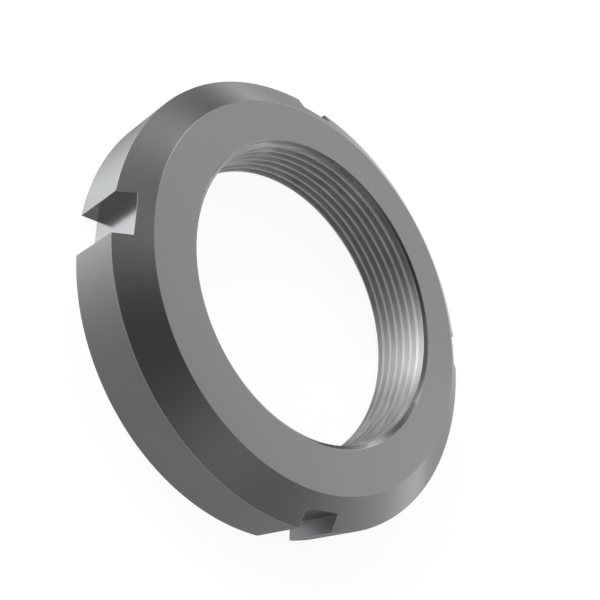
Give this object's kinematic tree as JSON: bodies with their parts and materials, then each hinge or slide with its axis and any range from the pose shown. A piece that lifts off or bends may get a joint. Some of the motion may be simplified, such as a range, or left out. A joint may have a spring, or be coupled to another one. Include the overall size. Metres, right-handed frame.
{
  "type": "bearing lock nut",
  "caption": "Flat steel ring nut with a fine right-hand thread, a chamfered locating face and slots round its rim for a hook spanner.",
  "frame": {"origin": "centre of the plain back face, which the nut lies on", "axes": "+Z along the thread's axis to the chamfered locating face; X and Y through the middles of the spanner slots"},
  "size_m": [0.0698, 0.0698, 0.011],
  "materials": {
    "machined_steel": "fine-turned bare steel, with circular tool marks"
  },
  "bodies": {
    "root": {"lock_nut": "machined_steel"}
  },
  "joints": []
}
